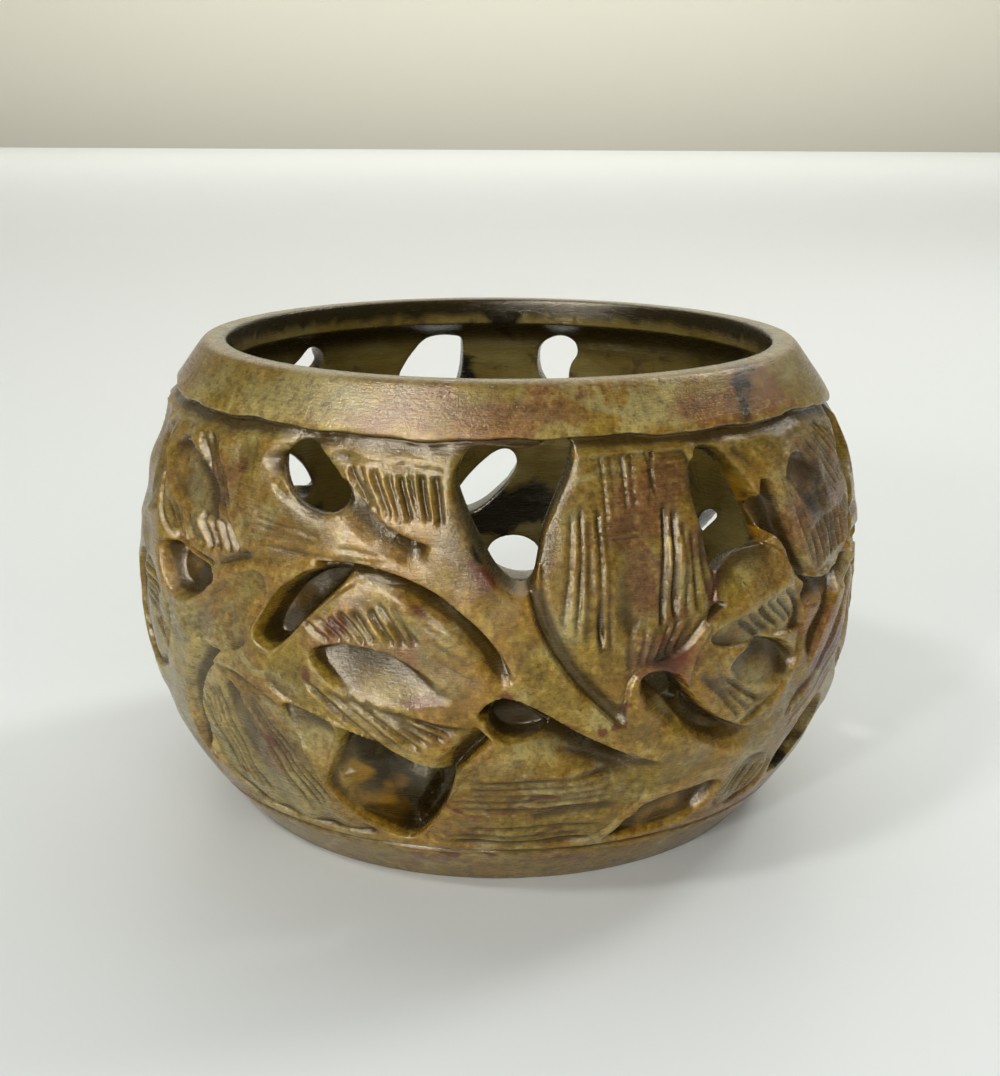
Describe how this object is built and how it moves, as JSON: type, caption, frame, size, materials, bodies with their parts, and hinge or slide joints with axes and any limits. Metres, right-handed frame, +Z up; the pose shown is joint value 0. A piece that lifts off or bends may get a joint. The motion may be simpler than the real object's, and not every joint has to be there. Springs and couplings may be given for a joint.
{
  "type": "carved stone candle holder",
  "caption": "Round openwork bowl carved from one piece of mottled soapstone, with leaves on a vine, pierced gaps, a plain sloping rim and a flat foot, for a small candle.",
  "frame": {"origin": "centre of the underside", "axes": "+Z up through the mouth; -Y faces the side with the large gap under the rim and the broad leaf below it"},
  "size_m": [0.0999, 0.0999, 0.0637],
  "materials": {
    "soapstone": "hand-carved and waxed, semi-gloss, mottled olive, ochre, brown and mauve, with dark veins"
  },
  "bodies": {
    "root": {"carved_bowl": "soapstone"}
  },
  "joints": []
}
